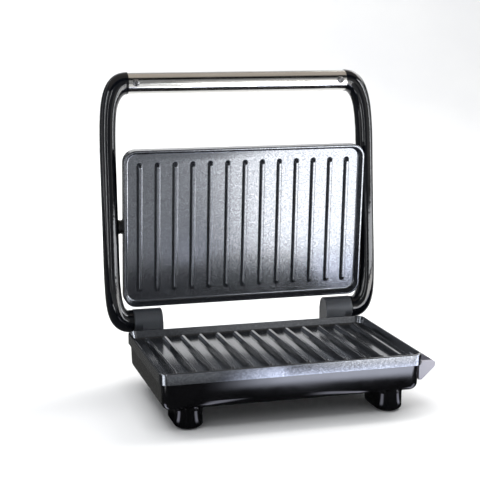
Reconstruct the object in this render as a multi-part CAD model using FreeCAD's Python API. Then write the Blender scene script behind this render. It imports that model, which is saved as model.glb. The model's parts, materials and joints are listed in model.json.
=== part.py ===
# Two-slice panini press: ribbed lower plate in a black base, floating ribbed lid carried in a
# tubular bail handle that turns in two hinge barrels behind the base. Millimetres, +Z up,
# -Y is the front, the feet stand on z = 0. The handle and lid are drawn open.
import math
import os

import FreeCAD
import Part

V = FreeCAD.Vector
os.makedirs("parts", exist_ok=True)

# ---------------------------------------------------------------- driving dimensions
PLATE_W = 236.0          # plate width, X
PLATE_D = 150.0          # plate depth, Y
LOWER_CORNER_R = 8.0     # plan corner radius of the lower plate
UPPER_CORNER_R = 12.0    # plan corner radius of the upper plate
RIM_Z = 52.0             # top of the lower plate's rim above the table
BAND_H = 10.0            # height of the plate's outer rim band
TRAY_DEPTH = 7.0         # rim crest down to the plate's floor
RIM_CREST = 1.7          # width of the rim's crest
RIM_FOOT = 3.7           # rim thickness at the floor
RIB_COUNT = 13
RIB_PITCH = 17.0
RIB_LEN = 125.0
RIB_BASE = 5.8
RIB_CREST = 2.6
RIB_H = 4.0

HOUSING_IN = 2.0         # housing wall set in from the plate's edge
HOUSING_Z0 = 18.3        # underside of the base
WALL = 2.5
LEG_W = 25.0
LEG_L = 46.0
LEG_X = 91.0
LEG_FRONT_Y = -70.5
REAR_LEG_X = 80.0
REAR_LEG_Y = 60.0
LEG_Z0 = 1.0
PAD_T = 3.0              # rubber pad, one millimetre of it standing proud

HINGE_Y = 88.8
HINGE_Z = 58.2
BARREL_R = 11.0
BARREL_X0 = 82.0
BARREL_X1 = 109.4
BLOCK_X1 = 101.5
PIN_R = 4.0
PIN_CLEAR = 0.06

ARM_LEAN = 5.1           # handle leans back this far when open, degrees
ARM_X = 128.0
ARM_WALL = 1.0
PIVOT_LEN = 90.0         # hinge axis to lid pivot
GRIP_LEN = 224.2         # hinge axis to grip axis
GRIP_R = 10.0
GRIP_T = 0.9
GRIP_X = 107.6
SCREW_X = 101.0

LID_TURN = 94.0          # lid drawn face up, then turned this far about X
PIVOT_N = 17.0           # rim plane to lid pivot axis
LID_DEPTH = 37.0         # rim plane to the top of the lid
PIVOT_PIN_R = 3.0
BUSH_R = 6.7

CUP_Y0 = -68.5
CUP_Y1 = -28.0
CUP_X1 = 131.5
CUP_Z0 = 27.0
CUP_Z1 = 44.0

ORIGIN_Y = 22.88         # everything is laid out from the plate's centre; the origin stands this
                         # far behind it, under the middle of the whole object's box


# ---------------------------------------------------------------- helpers
def save(shape, name):
    shape = shape.removeSplitter() if len(shape.Solids) == 1 else shape.copy()
    shape.translate(V(0, -ORIGIN_Y, 0))
    if not shape.isValid():
        print("INVALID", name)
    print(name, "solids", len(shape.Solids), "volume_cm3", round(shape.Volume / 1000.0, 2))
    shape.exportStep("parts/" + name + ".step")


def group(solids):
    return Part.makeCompound(solids)


def rr_wire(w, d, r, z, cx=0.0, cy=0.0):
    """Rounded rectangle w x d with corner radius r, as a closed wire at height z."""
    hx, hy = w / 2.0, d / 2.0
    k = r * math.sqrt(0.5)
    edges = []
    corners = [(hx - r, hy - r, 0), (-hx + r, hy - r, 90), (-hx + r, -hy + r, 180), (hx - r, -hy + r, 270)]
    pts = []
    for x, y, a in corners:
        a0, a1, am = math.radians(a), math.radians(a + 90), math.radians(a + 45)
        pts.append((V(cx + x + r * math.cos(a0), cy + y + r * math.sin(a0), z),
                    V(cx + x + r * math.cos(am), cy + y + r * math.sin(am), z),
                    V(cx + x + r * math.cos(a1), cy + y + r * math.sin(a1), z)))
    for i, (p0, pm, p1) in enumerate(pts):
        edges.append(Part.Arc(p0, pm, p1).toShape())
        nxt = pts[(i + 1) % 4][0]
        if (p1 - nxt).Length > 1e-6:
            edges.append(Part.LineSegment(p1, nxt).toShape())
    return Part.Wire(edges)


def rr_box(w, d, r, z0, z1, cx=0.0, cy=0.0):
    return Part.Face(rr_wire(w, d, r, z0, cx, cy)).extrude(V(0, 0, z1 - z0))


def rr_loft(w0, d0, r0, z0, w1, d1, r1, z1, cx=0.0, cy=0.0):
    return Part.makeLoft([rr_wire(w0, d0, r0, z0, cx, cy), rr_wire(w1, d1, r1, z1, cx, cy)], True, True)


def stadium(w, length, z0, z1, cx, cy):
    """Slot-shaped prism, w across X, length along Y."""
    r = w / 2.0
    return rr_box(w, length, r - 0.001, z0, z1, cx, cy)


def cyl_z(r, z0, z1, x, y):
    return Part.makeCylinder(r, z1 - z0, V(x, y, z0), V(0, 0, 1))


def cyl_x(r, x0, x1, y, z):
    lo, hi = min(x0, x1), max(x0, x1)
    return Part.makeCylinder(r, hi - lo, V(lo, y, z), V(1, 0, 0))


def cyl_y(r, y0, y1, x, z):
    return Part.makeCylinder(r, y1 - y0, V(x, y0, z), V(0, 1, 0))


def box(x0, x1, y0, y1, z0, z1):
    return Part.makeBox(x1 - x0, y1 - y0, z1 - z0, V(x0, y0, z0))


def fillet_where(shape, r, test):
    edges = [e for e in shape.Edges if test(e)]
    if not edges:
        return shape
    try:
        out = shape.makeFillet(r, edges)
        if out.isValid() and out.Volume > 0:
            return out
    except Exception:
        pass
    print("fillet skipped", r)
    return shape


def mirror_x(shape):
    return shape.mirror(V(0, 0, 0), V(1, 0, 0))


def prism_x(points, x0, x1):
    """Polygon given in (y, z), extruded from x0 to x1."""
    pts = [V(x0, y, z) for y, z in points] + [V(x0, points[0][0], points[0][1])]
    return Part.Face(Part.makePolygon(pts)).extrude(V(x1 - x0, 0, 0))


def prism_y(points, y0, y1):
    """Polygon given in (x, z), extruded from y0 to y1."""
    pts = [V(x, y0, z) for x, z in points] + [V(points[0][0], y0, points[0][1])]
    return Part.Face(Part.makePolygon(pts)).extrude(V(0, y1 - y0, 0))


def cross_recess(size, depth):
    """Cross-head recess cut down from z = 0."""
    a = box(-size / 2, size / 2, -size / 8, size / 8, -depth, 1.0)
    b = box(-size / 8, size / 8, -size / 2, size / 2, -depth, 1.0)
    return a.fuse(b)


def screw_z(head_r, head_h, shank_r, length):
    """Domed cross-head screw, head up, underside of the head at z = 0."""
    top = Part.makeCylinder(head_r, head_h * 0.45)
    dome = Part.makeCone(head_r, head_r * 0.62, head_h * 0.55, V(0, 0, head_h * 0.45))
    s = top.fuse(dome).fuse(Part.makeCylinder(shank_r, length, V(0, 0, -length)))
    rec = cross_recess(head_r * 1.15, head_h * 0.6)
    rec.translate(V(0, 0, head_h))
    return s.cut(rec).removeSplitter()


# ---------------------------------------------------------------- ribbed plates
def make_rib():
    low = rr_wire(RIB_BASE, RIB_LEN, RIB_BASE / 2 - 0.002, 0)
    top = rr_wire(RIB_CREST, RIB_LEN - 8.0, RIB_CREST / 2 - 0.002, RIB_H)
    rib = Part.makeLoft([low, top], True, True)
    rib = fillet_where(rib, 0.7, lambda e: abs(e.BoundBox.ZMin - RIB_H) < 1e-4 and abs(e.BoundBox.ZMax - RIB_H) < 1e-4)
    return rib


def plate(corner_r, post_xy, post_h):
    """Ribbed tray drawn face up with its rim crest at z = 0."""
    band = rr_box(PLATE_W, PLATE_D, corner_r, -BAND_H, 0)
    band = fillet_where(band, 1.0, lambda e: abs(e.BoundBox.ZMin) < 1e-6 and abs(e.BoundBox.ZMax) < 1e-6)
    tray = rr_loft(PLATE_W - 2 * RIM_FOOT, PLATE_D - 2 * RIM_FOOT, corner_r - 2.6, -TRAY_DEPTH,
                   PLATE_W - 2 * RIM_CREST, PLATE_D - 2 * RIM_CREST, corner_r - 1.2, 0.001)
    tray = fillet_where(tray, 1.6, lambda e: abs(e.BoundBox.ZMin + TRAY_DEPTH) < 1e-6 and abs(e.BoundBox.ZMax + TRAY_DEPTH) < 1e-6)
    body = band.cut(tray)
    rib = make_rib()
    ribs = []
    for i in range(RIB_COUNT):
        c = rib.copy()
        c.translate(V((i - (RIB_COUNT - 1) / 2.0) * RIB_PITCH, 0, -TRAY_DEPTH - 0.002))
        ribs.append(c)
    body = body.fuse(ribs)
    for x, y in post_xy:
        body = body.fuse(cyl_z(5.5, -BAND_H - post_h, -BAND_H + 0.5, x, y))
    for x, y in post_xy:
        body = body.cut(cyl_z(2.06, -BAND_H - post_h - 1, -TRAY_DEPTH - 1.4, x, y))
    return body


BASE_POSTS = [(sx * x, y) for sx in (-1, 1) for x, y in ((104.0, 46.0), (104.0, -14.0), (50.0, -63.0))]
lower = plate(LOWER_CORNER_R, BASE_POSTS, 2.0)
lower.translate(V(0, 0, RIM_Z))
# drain slot through the right rim at floor level, near the front, above the drip cup
FLOOR_Z = RIM_Z - TRAY_DEPTH
drain = box(PLATE_W / 2 - 6.0, PLATE_W / 2 + 1.0, -58.0, -50.0, FLOOR_Z - 0.2, FLOOR_Z + 3.0)
lower = lower.cut(drain)
lip = prism_y([(PLATE_W / 2 - 0.6, FLOOR_Z - 0.2), (PLATE_W / 2 + 2.6, FLOOR_Z - 0.8),
               (PLATE_W / 2 + 2.6, FLOOR_Z - 1.9), (PLATE_W / 2 - 0.6, FLOOR_Z - 2.6)], -59.0, -49.0)
lower = lower.fuse(lip)
save(lower, "lower_plate")
BAND_Z0 = RIM_Z - BAND_H

# ---------------------------------------------------------------- base housing
HW, HD = PLATE_W / 2 - HOUSING_IN, PLATE_D / 2 - HOUSING_IN
TOP_Z = BAND_Z0 - 0.2
tub = rr_loft(2 * HW - 1.6, 2 * HD - 1.6, 7.5, HOUSING_Z0, 2 * HW, 2 * HD, 8.0, TOP_Z)
tub = fillet_where(tub, 7.0, lambda e: e.BoundBox.ZMax < HOUSING_Z0 + 0.01)
tub_outside = tub.copy()
cav = rr_loft(2 * HW - 1.6 - 2 * WALL, 2 * HD - 1.6 - 2 * WALL, 5.2, HOUSING_Z0 + WALL,
              2 * HW - 2 * WALL, 2 * HD - 2 * WALL, 5.5, TOP_Z + 1)
cav = fillet_where(cav, 4.8, lambda e: e.BoundBox.ZMax < HOUSING_Z0 + WALL + 0.01)
tub = tub.cut(cav)
# four hollow legs, each shaped to sit against the tub's underside
leg_cy = LEG_FRONT_Y + LEG_L / 2
legs, pads = [], []
for sx in (-1, 1):
    leg = stadium(LEG_W, LEG_L, LEG_Z0, HOUSING_Z0 + 7.2, sx * LEG_X, leg_cy)
    leg = fillet_where(leg, 3.2, lambda e: e.BoundBox.ZMax < LEG_Z0 + 0.01)
    flare = Part.makeLoft([rr_wire(LEG_W, LEG_L, LEG_W / 2 - 0.001, HOUSING_Z0 - 1.8, sx * LEG_X, leg_cy),
                           rr_wire(LEG_W + 2.6, LEG_L + 2.0, LEG_W / 2 + 0.999, HOUSING_Z0 + 0.4, sx * LEG_X, leg_cy)], True, True)
    leg = leg.fuse(flare)
    leg = leg.cut(stadium(LEG_W - 5, LEG_L - 5, LEG_Z0 + 4.2, HOUSING_Z0 - 1.9, sx * LEG_X, leg_cy))
    leg = leg.cut(stadium(LEG_W - 8, LEG_L - 8, LEG_Z0 - 1, PAD_T, sx * LEG_X, leg_cy))
    legs.append(leg)
    pads.append(stadium(LEG_W - 8.2, LEG_L - 8.2, 0, PAD_T, sx * LEG_X, leg_cy))
    leg = cyl_z(LEG_W / 2, LEG_Z0, HOUSING_Z0 + 7.2, sx * REAR_LEG_X, REAR_LEG_Y)
    leg = fillet_where(leg, 3.2, lambda e: e.BoundBox.ZMax < LEG_Z0 + 0.01)
    leg = leg.cut(cyl_z(LEG_W / 2 - 2.5, LEG_Z0 + 4.2, HOUSING_Z0 - 1.9, sx * REAR_LEG_X, REAR_LEG_Y))
    leg = leg.cut(cyl_z(LEG_W / 2 - 4, LEG_Z0 - 1, PAD_T, sx * REAR_LEG_X, REAR_LEG_Y))
    legs.append(leg)
    pads.append(cyl_z(LEG_W / 2 - 4.1, 0, PAD_T, sx * REAR_LEG_X, REAR_LEG_Y))
block = box(-130, 130, -90, 90, HOUSING_Z0 + 7.0, HOUSING_Z0 + 20)
legs = [max(l.cut(tub_outside).cut(block).Solids, key=lambda q: q.Volume) for l in legs]
save(group(legs), "base_legs")
# screw posts that carry the lower plate, each with a screw entering from below
posts = [cyl_z(5.5, HOUSING_Z0 + 1.0, BAND_Z0 - 2.05, x, y) for x, y in BASE_POSTS]
tub = tub.fuse(posts)
for x, y in BASE_POSTS:
    tub = tub.cut(cyl_z(2.3, HOUSING_Z0 - 1, BAND_Z0, x, y))
    tub = tub.cut(cyl_z(4.2, HOUSING_Z0 - 1, HOUSING_Z0 + 6.0, x, y))
# hinge bracket screw holes in the rear wall, and the cord bush hole
HSCREW = [(sx * 91.7, z) for sx in (-1, 1) for z in (28.5, 37.0)]
for x, z in HSCREW:
    tub = tub.cut(cyl_y(1.7, HD - 6, HD + 3, x, z))
BUSH_X, BUSH_Z = 30.0, 30.0
tub = tub.cut(cyl_y(6.1, HD - 6, HD + 3, BUSH_X, BUSH_Z))
# slots the drip cup's two tabs slide into
CUP_TABS = (-62.0, -38.0)
for y in CUP_TABS:
    tub = tub.cut(box(HW - 6, HW + 2, y - 0.3, y + 6.3, 32.7, 36.3))
save(tub, "base_housing")
save(group(pads), "foot_pads")

# screws from below into the plate's posts
base_screws = []
for x, y in BASE_POSTS:
    s = screw_z(3.6, 2.2, 2.0, BAND_Z0 + 1.4 - (HOUSING_Z0 + 6.0))
    s.rotate(V(0, 0, 0), V(1, 0, 0), 180)
    s.translate(V(x, y, HOUSING_Z0 + 6.0))
    base_screws.append(s)
save(group(base_screws), "base_screws")


# ---------------------------------------------------------------- heating parts
def element(z, r=3.2):
    """U-shaped tubular element in the XY plane with two terminal ends."""
    p = [V(-84, 36, z), V(48, 36, z), V(84, 0, z), V(48, -36, z), V(-84, -36, z)]
    path = Part.Wire([Part.LineSegment(p[0], p[1]).toShape(), Part.Arc(p[1], p[2], p[3]).toShape(),
                      Part.LineSegment(p[3], p[4]).toShape()])
    prof = Part.Wire([Part.Circle(p[0], V(1, 0, 0), r).toShape()])
    tube = path.makePipeShell([prof], True, True)
    if not tube.isValid() or tube.Volume < 0:
        tube = tube.reversed()
    for y in (36, -36):
        tube = tube.fuse(cyl_x(1.4, -93, -83.9, y, z))
    return tube


def reflector(z, edge_z, hole_r):
    pan = rr_box(194, 110, 8, z, z + 0.6)
    rim = rr_box(194, 110, 8, z, edge_z).cut(rr_box(192.8, 108.8, 7.4, z - 1, edge_z + 1))
    pan = pan.fuse(rim)
    return pan.cut(cyl_z(hole_r, z - 1, z + 2, 0, 0))


el = element(BAND_Z0 - 3.25)
save(el, "lower_element")
save(reflector(BAND_Z0 - 8.6, BAND_Z0 - 0.1, 11.5), "lower_reflector")
# thermostat clamped to the underside of the lower plate, thermal fuse beside it
th = cyl_z(8.0, BAND_Z0 - 6.0, BAND_Z0 - 0.05, 0, 0).fuse(cyl_z(6.6, BAND_Z0 - 13.0, BAND_Z0 - 6.0, 0, 0))
th = th.fuse(box(-7.5, -5.9, -3.1, 3.1, BAND_Z0 - 16.5, BAND_Z0 - 12.0)).fuse(box(5.9, 7.5, -3.1, 3.1, BAND_Z0 - 16.5, BAND_Z0 - 12.0))
save(th, "thermostat")
fuse = cyl_x(2.2, 30, 44, -12, BAND_Z0 - 2.35).fuse(cyl_x(0.6, 22, 52, -12, BAND_Z0 - 2.35))
save(fuse, "thermal_fuse")
term = box(-60, -24, 40, 54, HOUSING_Z0 + WALL, HOUSING_Z0 + WALL + 9)
for i in range(3):
    term = term.cut(cyl_z(2.4, HOUSING_Z0 + WALL + 4, HOUSING_Z0 + WALL + 10, -54 + 12 * i, 47))
    if i:
        term = term.cut(box(-60 + 12 * i - 0.6, -60 + 12 * i + 0.6, 39, 55, HOUSING_Z0 + WALL + 5, HOUSING_Z0 + WALL + 10))
save(term, "terminal_block")
cb = cyl_y(6.0, HD - 5.6, HD + 1.0, BUSH_X, BUSH_Z).fuse(cyl_y(8.0, HD + 0.05, HD + 3.0, BUSH_X, BUSH_Z))
cb = cb.fuse(Part.makeCone(6.6, 4.4, 14.0, V(BUSH_X, HD + 3.0, BUSH_Z), V(0, 1, 0)))
for k in range(3):
    ring = cyl_y(9, HD + 6 + 3.4 * k, HD + 7.2 + 3.4 * k, BUSH_X, BUSH_Z).cut(cyl_y(4.2 - 0.2 * k, HD + 5, HD + 20, BUSH_X, BUSH_Z))
    cb = cb.cut(ring)
cb = cb.fuse(cyl_y(6.9, HD - 5.6, HD - 4.2, BUSH_X, BUSH_Z))
save(cb, "cord_bush")

# ---------------------------------------------------------------- hinge brackets
RW = HD + 0.05                       # outer face of the rear wall
PF = PLATE_D / 2 + 0.5               # just behind the plate's band
prof_pts = [(HINGE_Y - BARREL_R, HINGE_Z), (HINGE_Y - BARREL_R, BAND_Z0 - 0.6), (RW, BAND_Z0 - 0.6), (RW, 24.0),
            (RW + 7.0, 24.0), (HINGE_Y + BARREL_R, HINGE_Z - 14.0), (HINGE_Y + BARREL_R, HINGE_Z)]
left_block = prism_x(prof_pts, -BLOCK_X1, -BARREL_X0)
left_block = fillet_where(left_block, 1.2, lambda e: e.Length > 15 and abs(e.BoundBox.XMax - e.BoundBox.XMin) > 15
                          and e.BoundBox.YMin > RW + 1 and e.BoundBox.ZMax < HINGE_Z - 1)
barrel = cyl_x(BARREL_R, -BARREL_X1, -BARREL_X0, HINGE_Y, HINGE_Z)
barrel = fillet_where(barrel, 0.8, lambda e: abs(e.BoundBox.XMax - e.BoundBox.XMin) < 1e-6)
hb = left_block.fuse(barrel)
hb = hb.cut(cyl_x(PIN_R + PIN_CLEAR, -BARREL_X1 - 1, -BARREL_X0 + 1, HINGE_Y, HINGE_Z))
hb = hb.cut(cyl_x(8.0, -BARREL_X0 - 4.0, -BARREL_X0 + 1, HINGE_Y, HINGE_Z))
for x, z in HSCREW:
    if x < 0:
        hb = hb.cut(cyl_y(1.55, RW - 1, RW + 6.4, x, z))
save(hb, "hinge_bracket_left")
save(mirror_x(hb), "hinge_bracket_right")
cap = cyl_x(7.9, -BARREL_X0 - 1.6, -BARREL_X0 - 0.1, HINGE_Y, HINGE_Z)
save(group([cap, mirror_x(cap)]), "hinge_caps")
hs = []
for x, z in HSCREW:
    s = screw_z(3.0, 1.9, 1.5, WALL + 0.4 + 6.0)
    s.rotate(V(0, 0, 0), V(1, 0, 0), 90)      # head toward -Y
    s.translate(V(x, HD - WALL - 0.75, z))
    hs.append(s)
save(group(hs), "hinge_screws")

# ---------------------------------------------------------------- drip cup on the right side
cx0 = HW + 0.35
cup = prism_y([(cx0, CUP_Z0), (cx0, BAND_Z0 - 0.6), (CUP_X1 - 2.6, BAND_Z0 - 0.6), (CUP_X1, BAND_Z0 - 2.2),
               (CUP_X1 - 0.5, BAND_Z0 - 4.0), (cx0 + 2.4, CUP_Z0)], CUP_Y0, CUP_Y1)
# the part outside the plate's band stands a little higher
raised = prism_y([(PLATE_W / 2 + 0.6, BAND_Z0 - 1.0), (PLATE_W / 2 + 0.6, CUP_Z1), (CUP_X1 - 2.2, CUP_Z1), (CUP_X1, CUP_Z1 - 1.9),
                  (CUP_X1, BAND_Z0 - 2.2), (CUP_X1 - 3.0, BAND_Z0 - 2.2)], CUP_Y0, CUP_Y1)
cup = cup.fuse(raised).removeSplitter()
inner = prism_y([(cx0 + 1.8, CUP_Z0 + 4.4), (cx0 + 1.8, CUP_Z1 + 2), (CUP_X1 - 1.9, CUP_Z1 + 2), (CUP_X1 - 1.9, BAND_Z0 - 4.0),
                 (cx0 + 3.2, CUP_Z0 + 2.6)], CUP_Y0 + 1.8, CUP_Y1 - 1.8)
cup = cup.cut(inner)
for y in CUP_TABS:
    cup = cup.fuse(box(cx0 - 5.2, cx0 + 0.5, y, y + 6.0, 33.0, 36.0))
cup = cup.removeSplitter()
save(cup, "drip_cup")


# ---------------------------------------------------------------- bail handle
def to_handle(shape):
    """Handle drawn upright in XZ about the origin, then leaned back and carried to the hinge axis."""
    s = shape.copy()
    s.rotate(V(0, 0, 0), V(1, 0, 0), -ARM_LEAN)
    s.translate(V(0, HINGE_Y, HINGE_Z))
    return s


def section(cx, cz, tx, tz, a, b, m, n=28):
    """Superellipse across the tube: a in the handle's plane, b front to back."""
    L = math.hypot(tx, tz)
    tx, tz = tx / L, tz / L
    nx, nz = -tz, tx
    pts = []
    for k in range(n):
        t = 2 * math.pi * k / n
        c, s = math.cos(t), math.sin(t)
        u = a * math.copysign(abs(c) ** (2.0 / m), c)
        w = b * math.copysign(abs(s) ** (2.0 / m), s)
        pts.append(V(cx + nx * u, w, cz + nz * u))
    bs = Part.BSplineCurve()
    bs.interpolate(pts, True)
    return Part.Wire([bs.toShape()])


STATIONS = [
    (109.8, 0.0, 10.7, 10.7, 2.0), (113.0, 0.0, 10.7, 10.7, 2.0), (117.2, 1.1, 10.5, 10.75, 2.0),
    (120.7, 3.7, 9.9, 10.9, 2.05), (123.4, 7.6, 9.1, 11.1, 2.12), (125.4, 13.0, 8.3, 11.4, 2.25),
    (126.8, 20.5, 7.7, 11.7, 2.4), (127.6, 31.0, 7.3, 11.9, 2.5), (128.0, 46.0, 7.2, 12.0, 2.5),
    (128.0, 75.0, 7.2, 12.0, 2.5), (128.0, 110.0, 7.2, 12.0, 2.5), (128.0, 145.0, 7.2, 12.0, 2.5),
    (127.9, 172.0, 7.2, 12.0, 2.5), (127.2, 189.0, 7.3, 11.9, 2.45), (125.9, 201.0, 7.6, 11.6, 2.35),
    (123.9, 209.2, 8.3, 11.3, 2.2), (121.0, 215.9, 9.2, 11.0, 2.1), (117.4, 220.6, 10.0, 10.7, 2.02),
    (113.2, 223.4, 10.4, 10.5, 2.0), (110.4, 224.2, 10.4, 10.4, 2.0), (107.9, 224.2, 10.4, 10.4, 2.0)]


def tube_loft(shrink, first, last, ext0=0.0):
    wires = []
    st = STATIONS
    for i in range(first, last):
        x, z, a, b, m = st[i]
        if i == 0 or i == 1:
            t = (1.0, 0.0)
        elif i >= len(st) - 2:
            t = (-1.0, 0.0)
        else:
            t = (st[i + 1][0] - st[i - 1][0], st[i + 1][1] - st[i - 1][1])
            # central difference weighted by the spacing on each side
            d0 = math.hypot(x - st[i - 1][0], z - st[i - 1][1])
            d1 = math.hypot(st[i + 1][0] - x, st[i + 1][1] - z)
            v0 = ((x - st[i - 1][0]) / d0, (z - st[i - 1][1]) / d0)
            v1 = ((st[i + 1][0] - x) / d1, (st[i + 1][1] - z) / d1)
            t = ((v0[0] * d1 + v1[0] * d0), (v0[1] * d1 + v1[1] * d0))
        xx = x - ext0 if i == 0 else x
        wires.append(section(xx, z, t[0], t[1], a - shrink, b - shrink, m))
    return Part.makeLoft(wires, True, False, False, 3)


arm = tube_loft(0.0, 0, len(STATIONS))
bore = tube_loft(ARM_WALL, 0, len(STATIONS) - 1, 0.5)
arm = arm.cut(bore)
spig = cyl_x(9.05, 84.0, 108.0, 0, GRIP_LEN).cut(cyl_x(7.8, 83.0, 107.4, 0, GRIP_LEN))
arm = arm.fuse(spig)
arm = arm.cut(cyl_x(PIVOT_PIN_R + 0.05, 118.0, 124.0, 0, PIVOT_LEN))
arm = arm.cut(Part.makeCylinder(1.6, 12, V(SCREW_X, -12, GRIP_LEN), V(0, 1, 0)))
right_arm = to_handle(arm)
save(right_arm, "handle_arm_right")
save(mirror_x(right_arm), "handle_arm_left")

sleeve = cyl_x(GRIP_R, -GRIP_X, GRIP_X, 0, GRIP_LEN).cut(cyl_x(GRIP_R - GRIP_T, -GRIP_X - 1, GRIP_X + 1, 0, GRIP_LEN))
gs = []
for sx in (-1, 1):
    sleeve = sleeve.cut(Part.makeCylinder(1.7, 12, V(sx * SCREW_X, -12, GRIP_LEN), V(0, 1, 0)))
    sleeve = sleeve.cut(Part.makeCylinder(3.5, 3, V(sx * SCREW_X, -12.45, GRIP_LEN), V(0, 1, 0)))
    s = screw_z(3.2, 1.5, 1.5, 6.0)
    s.rotate(V(0, 0, 0), V(0, 0, 1), 24.0 * sx)
    s.rotate(V(0, 0, 0), V(1, 0, 0), 90)
    s.translate(V(sx * SCREW_X, -9.5, GRIP_LEN))
    gs.append(to_handle(s))
save(to_handle(sleeve), "grip_sleeve")
save(group(gs), "grip_screws")

# plugs in the tube's lower ends hold the hinge pins
plug = cyl_x(9.5, 109.9, 113.6, 0, 0).cut(cyl_x(PIN_R + 0.04, 109, 120, 0, 0))
plug = to_handle(plug)
save(group([mirror_x(plug), plug]), "hinge_plugs")
pin = cyl_x(PIN_R, 84.4, 114.4, 0, 0).fuse(cyl_x(5.6, 113.7, 115.0, 0, 0))
pin = to_handle(pin)
save(group([mirror_x(pin), pin]), "hinge_pins")
wash = cyl_x(6.6, 84.6, 85.6, 0, 0).cut(cyl_x(PIN_R + 0.03, 84, 87, 0, 0))
wash = to_handle(wash)
save(group([mirror_x(wash), wash]), "hinge_washers")

# lid pivots: a spool-shaped bush between each arm and the lid, on a steel pin
BUSH_X0, BUSH_X1 = 116.5, 120.75
pb = cyl_x(BUSH_R, BUSH_X0, BUSH_X0 + 1.5, 0, PIVOT_LEN).fuse(cyl_x(BUSH_R - 1.0, BUSH_X0, BUSH_X1, 0, PIVOT_LEN))
pb = pb.fuse(cyl_x(BUSH_R, BUSH_X1 - 1.6, BUSH_X1, 0, PIVOT_LEN))
pb = pb.cut(cyl_x(PIVOT_PIN_R + 0.04, 115, 123, 0, PIVOT_LEN)).removeSplitter()
pb = to_handle(pb)
save(group([mirror_x(pb), pb]), "pivot_bushes")
pp = cyl_x(PIVOT_PIN_R, 102.0, 124.0, 0, PIVOT_LEN).fuse(cyl_x(4.8, 122.5, 124.3, 0, PIVOT_LEN))
pp = to_handle(pp)
save(group([mirror_x(pp), pp]), "pivot_pins")
pc = cyl_x(4.8, 102.6, 103.5, 0, PIVOT_LEN).cut(cyl_x(PIVOT_PIN_R + 0.03, 102, 104, 0, PIVOT_LEN))
pc = to_handle(pc)
save(group([mirror_x(pc), pc]), "pivot_clips")


# ---------------------------------------------------------------- lid, drawn face up about its pivot axis
PIVOT = V(0, HINGE_Y + PIVOT_LEN * math.sin(math.radians(ARM_LEAN)), HINGE_Z + PIVOT_LEN * math.cos(math.radians(ARM_LEAN)))


def to_lid(shape):
    s = shape.copy()
    s.rotate(V(0, 0, 0), V(1, 0, 0), LID_TURN)
    s.translate(PIVOT)
    return s


RIM_N = PIVOT_N
BAND_N = RIM_N - BAND_H
LID_POSTS = [(sx * 104.0, sy * 46.0) for sx in (-1, 1) for sy in (-1, 1)]
up = plate(UPPER_CORNER_R, LID_POSTS, 2.0)
up.translate(V(0, 0, RIM_N))
save(to_lid(up), "upper_plate")

TOP_N = RIM_N - LID_DEPTH
MID_N = BAND_N - 0.2
lw, ld = PLATE_W - 2 * HOUSING_IN - 1.0, PLATE_D - 2 * HOUSING_IN - 1.0
shell = rr_loft(lw - 9.0, ld - 17.0, 14.0, TOP_N, lw, ld, 11.0, MID_N)
shell = fillet_where(shell, 9.0, lambda e: e.BoundBox.ZMax < TOP_N + 0.01)
lcav = rr_loft(lw - 9.0 - 2 * WALL, ld - 17.0 - 2 * WALL, 11.5, TOP_N + WALL,
               lw - 2 * WALL, ld - 2 * WALL, 8.5, MID_N + 0.6)
lcav = fillet_where(lcav, 6.5, lambda e: e.BoundBox.ZMax < TOP_N + WALL + 0.01)
# round pads on the side walls for the pivots, then the cavity, then the pivot bosses
for sx in (-1, 1):
    shell = shell.fuse(cyl_x(8.0, sx * 108.0, sx * 116.1, 0, 0).common(box(-120, 120, -10, 10, -10, MID_N)))
shell = shell.cut(lcav)
for sx in (-1, 1):
    boss = cyl_x(6.6, sx * 104.0, sx * 114.0, 0, 0).common(box(-120, 120, -10, 10, -10, MID_N))
    shell = shell.fuse(boss)
    shell = shell.cut(cyl_x(PIVOT_PIN_R + 0.06, sx * 100.0, sx * 118.0, 0, 0))
for x, y in LID_POSTS:
    shell = shell.fuse(cyl_z(5.5, TOP_N + 1.2, BAND_N - 2.05, x, y))
for x, y in LID_POSTS:
    shell = shell.cut(cyl_z(2.1, BAND_N - 14.0, BAND_N, x, y))
LAMP = [(-14.0, 44.0), (14.0, 44.0)]
for x, y in LAMP:
    shell = shell.cut(cyl_z(4.0, TOP_N - 1, TOP_N + WALL + 1, x, y))
save(to_lid(shell), "lid_housing")

studs = []
for x, y in LID_POSTS:
    studs.append(to_lid(cyl_z(2.0, BAND_N - 13.0, BAND_N + 1.4, x, y)))
save(group(studs), "lid_studs")
save(to_lid(element(BAND_N - 3.25)), "upper_element")
save(to_lid(reflector(BAND_N - 8.6, BAND_N - 0.1, 11.5)), "upper_reflector")
tl = cyl_z(8.0, BAND_N - 6.0, BAND_N - 0.05, 0, 0).fuse(cyl_z(6.6, BAND_N - 13.0, BAND_N - 6.0, 0, 0))
save(to_lid(tl), "upper_thermostat")


def lens(x, y):
    s = cyl_z(3.9, TOP_N + 0.1, TOP_N + WALL, x, y)
    d = Part.makeSphere(6.2, V(x, y, TOP_N + 0.1 + 4.85)).common(cyl_z(3.9, TOP_N - 2, TOP_N + 0.15, x, y))
    f = cyl_z(5.2, TOP_N + WALL + 0.02, TOP_N + WALL + 1.0, x, y)
    return s.fuse(d).fuse(f).fuse(cyl_z(3.9, TOP_N + WALL - 0.1, TOP_N + WALL + 0.3, x, y)).removeSplitter()


save(to_lid(lens(*LAMP[0])), "power_lens")
save(to_lid(lens(*LAMP[1])), "ready_lens")
lamps = []
for x, y in LAMP:
    b = cyl_z(2.6, TOP_N + WALL + 1.3, TOP_N + WALL + 6.0, x, y)
    b = b.fuse(Part.makeSphere(2.6, V(x, y, TOP_N + WALL + 6.0)))
    lamps.append(to_lid(b))
save(group(lamps), "indicator_lamps")
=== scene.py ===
import json
import math

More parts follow.
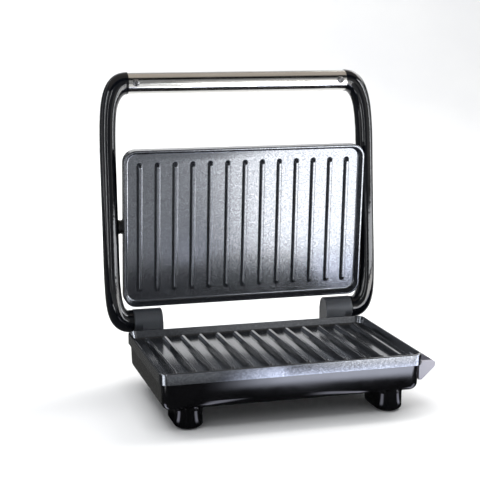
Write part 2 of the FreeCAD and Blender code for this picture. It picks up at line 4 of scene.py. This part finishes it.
import bmesh
import bpy
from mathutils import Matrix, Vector

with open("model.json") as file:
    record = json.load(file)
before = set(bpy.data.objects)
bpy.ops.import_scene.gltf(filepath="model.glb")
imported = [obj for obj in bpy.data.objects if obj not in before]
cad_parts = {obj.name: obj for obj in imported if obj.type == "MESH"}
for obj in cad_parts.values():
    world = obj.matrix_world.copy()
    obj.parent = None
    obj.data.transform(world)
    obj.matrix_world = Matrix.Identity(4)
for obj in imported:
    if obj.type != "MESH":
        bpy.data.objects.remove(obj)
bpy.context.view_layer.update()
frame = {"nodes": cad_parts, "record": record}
NODES = frame["nodes"]
SCENE = bpy.context.scene
SCENE.view_settings.view_transform = "Standard"

# ------------------------------------------------------------------ camera
cam_data = bpy.data.cameras.new("camera")
cam_data.sensor_width = 36.0
cam_data.lens = 92.8
cam_data.clip_start = 0.05
cam_data.clip_end = 60.0
cam = bpy.data.objects.new("camera", cam_data)
SCENE.collection.objects.link(cam)
cam.location = (-0.3228, -1.0630, 0.3428)
cam.rotation_euler = (math.radians(90.0 - 10.23), 0.0, math.radians(-15.79))
SCENE.camera = cam


# ------------------------------------------------------------------ node helpers
class Mat:
    """A Principled material and short calls for the nodes that feed it."""

    def __init__(self, name, base=(0.5, 0.5, 0.5), rough=0.5, metal=0.0, spec=0.5, coat=0.0, coat_rough=0.05):
        self.m = bpy.data.materials.new(name)
        self.m.use_nodes = True
        self.t = self.m.node_tree
        self.t.nodes.clear()
        self.out = self.t.nodes.new("ShaderNodeOutputMaterial")
        self.b = self.t.nodes.new("ShaderNodeBsdfPrincipled")
        self.t.links.new(self.b.outputs["BSDF"], self.out.inputs["Surface"])
        self.b.inputs["Base Color"].default_value = (*base, 1.0)
        self.b.inputs["Roughness"].default_value = rough
        self.b.inputs["Metallic"].default_value = metal
        self.b.inputs["Specular IOR Level"].default_value = spec
        self.b.inputs["Coat Weight"].default_value = coat
        self.b.inputs["Coat Roughness"].default_value = coat_rough
        self.tc = self.t.nodes.new("ShaderNodeTexCoord")

    def coords(self, scale=(1, 1, 1), rot=(0, 0, 0)):
        mp = self.t.nodes.new("ShaderNodeMapping")
        mp.inputs["Scale"].default_value = scale
        mp.inputs["Rotation"].default_value = rot
        self.t.links.new(self.tc.outputs["Object"], mp.inputs["Vector"])
        return mp.outputs["Vector"]

    def noise(self, scale, detail=2.0, rough=0.5, vec=None, distortion=0.0):
        n = self.t.nodes.new("ShaderNodeTexNoise")
        n.inputs["Scale"].default_value = scale
        n.inputs["Detail"].default_value = detail
        n.inputs["Roughness"].default_value = rough
        n.inputs["Distortion"].default_value = distortion
        self.t.links.new(vec or self.tc.outputs["Object"], n.inputs["Vector"])
        return n.outputs["Fac"]

    def voronoi(self, scale, vec=None, feature="F1"):
        n = self.t.nodes.new("ShaderNodeTexVoronoi")
        n.feature = feature
        n.inputs["Scale"].default_value = scale
        self.t.links.new(vec or self.tc.outputs["Object"], n.inputs["Vector"])
        return n.outputs["Distance"]

    def math(self, op, a, b):
        n = self.t.nodes.new("ShaderNodeMath")
        n.operation = op
        for i, v in enumerate((a, b)):
            if isinstance(v, (int, float)):
                n.inputs[i].default_value = v
            else:
                self.t.links.new(v, n.inputs[i])
        return n.outputs[0]

    def ramp(self, fac, *stops):
        n = self.t.nodes.new("ShaderNodeValToRGB")
        e = n.color_ramp.elements
        while len(e) < len(stops):
            e.new(0.5)
        for el, (p, c) in zip(e, stops):
            el.position = p
            el.color = (*c, 1.0)
        self.t.links.new(fac, n.inputs["Fac"])
        return n.outputs["Color"]

    def remap(self, fac, a, b, c, d):
        n = self.t.nodes.new("ShaderNodeMapRange")
        for k, v in zip(("From Min", "From Max", "To Min", "To Max"), (a, b, c, d)):
            n.inputs[k].default_value = v
        self.t.links.new(fac, n.inputs["Value"])
        return n.outputs["Result"]

    def mix(self, fac, c1, c2):
        n = self.t.nodes.new("ShaderNodeMix")
        n.data_type = "RGBA"
        self.t.links.new(fac, n.inputs[0])
        for i, c in ((6, c1), (7, c2)):
            if isinstance(c, tuple):
                n.inputs[i].default_value = (*c, 1.0)
            else:
                self.t.links.new(c, n.inputs[i])
        return n.outputs[2]

    def bump(self, height, strength, distance, normal=None):
        n = self.t.nodes.new("ShaderNodeBump")
        n.inputs["Strength"].default_value = strength
        n.inputs["Distance"].default_value = distance
        self.t.links.new(height, n.inputs["Height"])
        if normal is not None:
            self.t.links.new(normal, n.inputs["Normal"])
        return n.outputs["Normal"]

    def to(self, socket, value):
        self.t.links.new(value, self.b.inputs[socket])


# ------------------------------------------------------------------ materials
def mat_plate(name, r0, r1, k=1.0):
    """Dark non-stick coat with fine metallic flecks over cast aluminium; k below 1 darkens the coat colour as painted
    shade.
    """
    m = Mat(name, metal=0.80, rough=r1, spec=0.5, coat=0.5, coat_rough=0.16)
    fine = m.noise(1150, 1.0, 0.5)
    mid = m.noise(620, 2.0, 0.55)
    broad = m.noise(26, 3.0, 0.5)
    f = m.math("ADD", m.math("MULTIPLY", fine, 0.68), m.math("MULTIPLY", mid, 0.32))
    col = m.ramp(f, (0.38, (0.047 * k, 0.052 * k, 0.062 * k)), (0.50, (0.070 * k, 0.076 * k, 0.087 * k)), (0.62, (0.121 * k, 0.127 * k, 0.139 * k)))
    dark = m.ramp(broad, (0.30, (0.93, 0.93, 0.935)), (0.70, (1.0, 1.0, 1.0)))
    n = m.t.nodes.new("ShaderNodeMix")
    n.data_type = "RGBA"
    n.blend_type = "MULTIPLY"
    n.inputs[0].default_value = 1.0
    m.t.links.new(col, n.inputs[6])
    m.t.links.new(dark, n.inputs[7])
    m.to("Base Color", n.outputs[2])
    m.to("Roughness", m.math("ADD", m.remap(mid, 0.35, 0.65, r0, r1), m.remap(broad, 0.35, 0.65, 0.0, 0.015)))
    m.to("Normal", m.bump(fine, 0.035, 0.00005))
    return m.m


def mat_gloss_black(name, base, rough, spec=0.5, coat=0.0, haze=0.07):
    """Glossy black with a faint orange peel and handling marks."""
    m = Mat(name, base=base, rough=rough, spec=spec, coat=coat)
    smear = m.noise(38, 5.0, 0.62, distortion=0.6)
    dust = m.noise(2400, 1.0, 0.5)
    m.to("Base Color", m.ramp(smear, (0.35, base), (0.75, tuple(c * 1.5 for c in base))))
    r = m.math("ADD", m.remap(smear, 0.38, 0.74, rough, rough + haze), m.remap(dust, 0.62, 0.8, 0.0, haze * 0.8))
    m.to("Roughness", r)
    peel = m.noise(260, 2.0, 0.5)
    m.to("Normal", m.bump(peel, 0.10, 0.00004))
    return m.m


def mat_steel(name, base, rough, stretch, spread=0.10, bump=0.12):
    """Brushed or polished steel: scratches run along the axis with the small number in stretch."""
    m = Mat(name, base=base, rough=rough, metal=1.0)
    v = m.coords(scale=stretch)
    lines = m.noise(1.0, 4.0, 0.65, vec=v)
    broad = m.noise(30, 3.0, 0.5)
    c = m.ramp(lines, (0.30, tuple(x * 0.86 for x in base)), (0.72, tuple(min(1.0, x * 1.08) for x in base)))
    m.to("Base Color", c)
    m.to("Roughness", m.math("ADD", m.remap(lines, 0.3, 0.7, rough - spread / 2, rough + spread / 2), m.remap(broad, 0.35, 0.7, 0.0, 0.05)))
    m.to("Normal", m.bump(lines, bump, 0.00003))
    return m.m


def mat_grained(name, base, rough, grain=1500, depth=0.00006, strength=0.35, spec=0.45, lift=1.25):
    """Moulded plastic or rubber with a fine texture grain."""
    m = Mat(name, base=base, rough=rough, spec=spec)
    g = m.voronoi(grain)
    n = m.noise(grain * 0.45, 2.0, 0.6)
    broad = m.noise(34, 3.0, 0.55)
    f = m.math("ADD", m.math("MULTIPLY", g, 0.6), m.math("MULTIPLY", n, 0.4))
    m.to("Base Color", m.ramp(broad, (0.32, tuple(c * 0.92 for c in base)), (0.72, tuple(c * lift for c in base))))
    m.to("Roughness", m.remap(f, 0.2, 0.7, rough - 0.05, rough + 0.07))
    m.to("Normal", m.bump(f, strength, depth))
    return m.m


def mat_lens(name, base):
    m = Mat(name, base=base, rough=0.12, spec=0.5, coat=0.4)
    m.b.inputs["Transmission Weight"].default_value = 0.35
    m.b.inputs["IOR"].default_value = 1.49
    n = m.noise(420, 2.0, 0.5)
    m.to("Base Color", m.ramp(n, (0.3, tuple(c * 0.85 for c in base)), (0.7, base)))
    m.to("Roughness", m.remap(n, 0.3, 0.7, 0.09, 0.17))
    m.to("Normal", m.bump(m.voronoi(900), 0.15, 0.0001))
    return m.m


def mat_glass(name):
    m = Mat(name, base=(0.95, 0.92, 0.88), rough=0.05, spec=0.5)
    m.b.inputs["Transmission Weight"].default_value = 0.9
    m.b.inputs["IOR"].default_value = 1.5
    n = m.noise(300, 2.0, 0.5)
    m.to("Roughness", m.remap(n, 0.3, 0.7, 0.03, 0.09))
    m.to("Normal", m.bump(n, 0.05, 0.00004))
    return m.m


MATS = {
    "plate_coating": mat_plate("plate_coating", 0.20, 0.25),
    "housing_black": mat_gloss_black("housing_black", (0.0045, 0.0045, 0.0052), 0.07, spec=0.32),
    "arm_black": mat_gloss_black("arm_black", (0.0030, 0.0036, 0.0055), 0.030, spec=0.30, haze=0.025),
    "grip_steel": mat_steel("grip_steel", (0.56, 0.55, 0.53), 0.13, (24, 1500, 1500), spread=0.06, bump=0.05),
    "hinge_plastic": mat_grained("hinge_plastic", (0.030, 0.034, 0.042), 0.50),
    "bush_plastic": mat_grained("bush_plastic", (0.008, 0.008, 0.009), 0.34, grain=1900, strength=0.18),
    "foot_rubber": mat_grained("foot_rubber", (0.024, 0.024, 0.025), 0.82, grain=1100, strength=0.5),
    "cup_plastic": mat_grained("cup_plastic", (0.33, 0.32, 0.365), 0.33, grain=2100, strength=0.12, lift=1.06),
    "screw_steel": mat_steel("screw_steel", (0.60, 0.60, 0.61), 0.22, (900, 900, 900), bump=0.06),
    "element_steel": mat_steel("element_steel", (0.30, 0.27, 0.25), 0.42, (400, 900, 900), spread=0.16),
    "reflector_sheet": mat_steel("reflector_sheet", (0.72, 0.72, 0.73), 0.20, (18, 700, 700)),
    "control_parts": mat_steel("control_parts", (0.54, 0.54, 0.53), 0.34, (500, 500, 500)),
    "terminal_plastic": mat_grained("terminal_plastic", (0.68, 0.67, 0.63), 0.50, grain=1500, strength=0.2, lift=1.04),
    "lens_red": mat_lens("lens_red", (0.50, 0.02, 0.012)),
    "lens_green": mat_lens("lens_green", (0.03, 0.32, 0.07)),
    "lamp_glass": mat_glass("lamp_glass"),
}

# the lower plate is wiped smoother by use and its coat is painted darker as shade, the grip screws are painted dark as
# shade in their recessed heads
NODE_MATS = {
    # painted shade: k=0.9 darkens this plate's coat colour
    "lower_plate": mat_plate("plate_coating_worn_and_shaded", 0.12, 0.17, 0.9),
    # painted shade: a dark steel stands for the shade in the recessed screw heads
    "grip_screws": mat_steel("screw_steel_painted_shade", (0.17, 0.17, 0.175), 0.26, (900, 900, 900), bump=0.06),
}

slot_of = {s["node"]: s["material_slot"] for s in frame["record"]["subparts"]}
for name, ob in NODES.items():
    me = ob.data
    me.materials.clear()
    me.materials.append(NODE_MATS.get(name, MATS[slot_of[name]]))
    me.polygons.foreach_set("material_index", [0] * len(me.polygons))
    me.polygons.foreach_set("use_smooth", [True] * len(me.polygons))
    me.set_sharp_from_angle(angle=math.radians(24))


# ------------------------------------------------------------------ stage: floor swept up behind, light card, lights
def stage_mesh(name, verts, faces, mat):
    me = bpy.data.meshes.new(name)
    me.from_pydata(verts, [], faces)
    me.materials.append(mat)
    ob = bpy.data.objects.new(name, me)
    SCENE.collection.objects.link(ob)
    return ob


floor_mat = Mat("floor_pale", base=(0.90, 0.90, 0.90), rough=0.95, spec=0.0)
fn = floor_mat.noise(3.0, 3.0, 0.5)
floor_mat.to("Base Color", floor_mat.ramp(fn, (0.3, (0.885, 0.885, 0.89)), (0.7, (0.915, 0.915, 0.912))))
profile = [(-4.0, 0.0)]
for k in range(0, 19):
    a = math.radians(90.0 * k / 18.0)
    profile.append((2.2 + 1.2 * math.sin(a), 1.2 - 1.2 * math.cos(a)))
profile.append((3.4, 4.5))
verts, faces = [], []
for y, z in profile:
    verts += [(-6.0, y, z - 0.0002), (6.0, y, z - 0.0002)]
for i in range(len(profile) - 1):
    faces.append((2 * i, 2 * i + 1, 2 * i + 3, 2 * i + 2))
floor = stage_mesh("floor", verts, faces, floor_mat.m)
floor.data.polygons.foreach_set("use_smooth", [True] * len(floor.data.polygons))


def area(name, loc, target, sx, sy, radiance, color=(1, 1, 1), glossy_only=False):
    """Rectangular softbox with the given radiance, aimed at target."""
    ld = bpy.data.lights.new(name, "AREA")
    ld.shape = "RECTANGLE"
    ld.size, ld.size_y = sx, sy
    ld.energy = radiance * math.pi * sx * sy
    ld.color = color
    ob = bpy.data.objects.new(name, ld)
    SCENE.collection.objects.link(ob)
    ob.location = loc
    d = Vector(target) - Vector(loc)
    ob.rotation_euler = d.to_track_quat("-Z", "Y").to_euler()
    ob.visible_camera = False
    if glossy_only:
        ob.visible_diffuse = False
    return ob


# big soft sources
area("key_back_right", (1.25, 0.75, 1.35), (0.0, 0.0, 0.1), 1.3, 1.1, 5.0, (1.0, 0.99, 0.97))
area("fill_top", (-0.3, 0.0, 2.1), (0.0, 0.0, 0.1), 2.2, 1.6, 2.2, (0.98, 0.99, 1.0)).visible_glossy = False
area("fill_front", (-1.1, -1.6, 1.4), (0.0, 0.0, 0.1), 1.0, 0.8, 0.8, (0.97, 0.98, 1.0))
area("wash_back", (0.0, 0.9, 2.6), (0.0, 3.3, 0.7), 3.4, 1.2, 5.6)
# narrow strips that draw the lines along the gloss black tubes
area("strip_right", (1.35, -0.25, 0.45), (0.0, 0.0, 0.2), 0.20, 1.1, 8.0, (0.97, 0.99, 1.0), glossy_only=True)
area("strip_left", (-1.25, -0.45, 0.5), (0.0, 0.0, 0.2), 0.12, 1.0, 4.0, (0.97, 0.99, 1.0), glossy_only=True)


def card(name, corners, z, strength, soft, color=(1, 1, 1)):
    """Glowing card with soft edges, which only reflections see: corners run round it from near left."""
    nx, ny = 30, 30
    c = [Vector(q) for q in corners]
    vs, fs, glow = [], [], []

    def ease(t):
        t = max(0.0, min(1.0, t))
        return t * t * (3.0 - 2.0 * t)

    for j in range(ny + 1):
        for i in range(nx + 1):
            u, v = i / nx, j / ny
            q = c[0] * (1 - u) * (1 - v) + c[1] * u * (1 - v) + c[2] * u * v + c[3] * (1 - u) * v
            vs.append((q.x, q.y, q.z + z))
            glow.append(ease(u / soft[0]) * ease((1 - u) / soft[1]) * ease(v / soft[2]) * ease((1 - v) / soft[3]))
    for j in range(ny):
        for i in range(nx):
            k = j * (nx + 1) + i
            fs.append((k, k + 1, k + nx + 2, k + nx + 1))
    m = bpy.data.materials.new(name)
    m.use_nodes = True
    t = m.node_tree
    t.nodes.clear()
    out = t.nodes.new("ShaderNodeOutputMaterial")
    em = t.nodes.new("ShaderNodeEmission")
    em.inputs["Color"].default_value = (*color, 1.0)
    at = t.nodes.new("ShaderNodeAttribute")
    at.attribute_name = "glow"
    mu = t.nodes.new("ShaderNodeMath")
    mu.operation = "MULTIPLY"
    mu.inputs[1].default_value = strength
    t.links.new(at.outputs["Fac"], mu.inputs[0])
    t.links.new(mu.outputs[0], em.inputs["Strength"])
    t.links.new(em.outputs[0], out.inputs["Surface"])
    ob = stage_mesh(name, vs, fs, m)
    att = ob.data.attributes.new("glow", "FLOAT", "POINT")
    att.data.foreach_set("value", glow)
    ob.visible_camera = False
    ob.visible_diffuse = False
    ob.visible_shadow = False
    return ob


LEG_MID, LEG_FRONT = 0.091, -0.0809
# what the gloss sees: a lit floor on the right, near-black sheets close in front that paint the floor's shade into
# reflections, softboxes and a warm ceiling
# painted shade: these two near-black sheets lie over the floor and only reflections see them, standing for the floor's
# shade in front and front-left
card("floor_shade_sheet_near", [(-0.60, 0.085, 0), (0.60, 0.085, 0), (0.60, -0.236, 0), (-0.60, -0.236, 0)], 0.0012, 0.012,
     (0.01, 0.01, 0.01, 0.01), (0.9, 0.95, 1.0))
card("floor_shade_sheet_left", [(-1.10, -0.09, 0), (-0.100, -0.09, 0), (0.200, 2.20, 0), (-1.10, 2.20, 0)], 0.0016, 0.10,
     (0.02, 0.02, 0.02, 0.02), (1.0, 1.0, 0.97))
card("flag_left_back", [(-0.75, 0.80, 0.0), (-0.17, 0.80, 0.0), (-0.17, 0.80, 0.62), (-0.75, 0.80, 0.62)], 0.0, 0.10,
     (0.02, 0.02, 0.02, 0.02), (0.9, 0.95, 1.0))
card("card_front_right", [(0.03, -0.215, 0), (1.00, -0.215, 0), (1.00, -1.10, 0), (0.235, -1.10, 0)], 0.006, 13.5,
     (0.12, 0.1, 0.07, 0.15), (1.0, 0.99, 0.975))
card("card_near_right", [(-0.065, -0.166, 0), (0.330, -0.156, 0), (0.330, -0.250, 0), (-0.025, -0.250, 0)], 0.004, 15.5,
     (0.22, 0.12, 0.22, 0.05), (0.80, 0.84, 1.0))
card("card_left_corner", [(-0.34, -0.215, 0), (-0.19, -0.200, 0), (-0.19, -0.105, 0), (-0.34, -0.105, 0)], 0.004, 9.0,
     (0.2, 0.2, 0.2, 0.2), (0.95, 0.97, 1.0))
card("card_box_right", [(0.25, -1.45, 0.16), (1.35, -1.05, 0.16), (1.35, -1.05, 0.80), (0.25, -1.45, 0.80)], 0.0, 1.15,
     (0.10, 0.10, 0.15, 0.10), (1.0, 0.99, 0.97))
card("card_low_right", [(0.20, -1.40, 0.01), (1.30, -1.00, 0.01), (1.30, -1.00, 0.20), (0.20, -1.40, 0.20)], 0.0, 15.0,
     (0.25, 0.10, 0.10, 0.30), (0.93, 0.96, 1.0))
card("card_strip_right", [(0.74, -0.49, 0.01), (0.83, -0.35, 0.01), (0.83, -0.35, 0.85), (0.74, -0.49, 0.85)], 0.0, 24.0,
     (0.15, 0.15, 0.05, 0.05), (0.95, 0.97, 1.0))
card("card_strip_front", [(-0.53, -0.74, 0.01), (-0.47, -0.78, 0.01), (-0.47, -0.78, 0.80), (-0.53, -0.74, 0.80)], 0.0, 14.0,
     (0.2, 0.2, 0.05, 0.05), (0.95, 0.97, 1.0))
card("card_strip_left", [(-0.95, 0.02, 0.01), (-0.95, -0.12, 0.01), (-0.95, -0.12, 0.80), (-0.95, 0.02, 0.80)], 0.0, 14.0,
     (0.15, 0.15, 0.05, 0.05), (0.95, 0.97, 1.0))
card("flag_top", [(-1.6, -0.66, 0.80), (1.6, -0.66, 0.80), (1.6, -0.50, 1.30), (-1.6, -0.50, 1.30)], 0.0, 0.01,
     (0.02, 0.02, 0.02, 0.02), (1.0, 1.0, 1.0))
card("ceiling_warm", [(-1.8, -0.50, 1.35), (1.8, -0.50, 1.35), (1.8, 1.00, 1.50), (-1.8, 1.00, 1.50)], 0.0, 0.62,
     (0.05, 0.05, 0.05, 0.10), (1.0, 0.90, 0.79))
# a pair of short strips on the floor beside each front foot
for lx, turns in ((-LEG_MID, (-79.0, 44.0)), (LEG_MID, (-60.0, 60.0))):
    for turn in turns:
        fan = []
        for r, d in ((0.020, -16.0), (0.020, 16.0), (0.085, 16.0), (0.085, -16.0)):
            w = math.radians(turn + d)
            fan.append((lx + r * math.sin(w), LEG_FRONT - r * math.cos(w), 0.0))
        card("card_foot_%d_%d" % (round(lx * 1000), turn), fan, 0.0025, 5.0, (0.4, 0.4, 0.15, 0.4), (0.82, 0.83, 1.0))

world = bpy.data.worlds.new("studio")
world.use_nodes = True
world.node_tree.nodes["Background"].inputs["Color"].default_value = (0.95, 0.97, 1.0, 1.0)
world.node_tree.nodes["Background"].inputs["Strength"].default_value = 0.36
SCENE.world = world
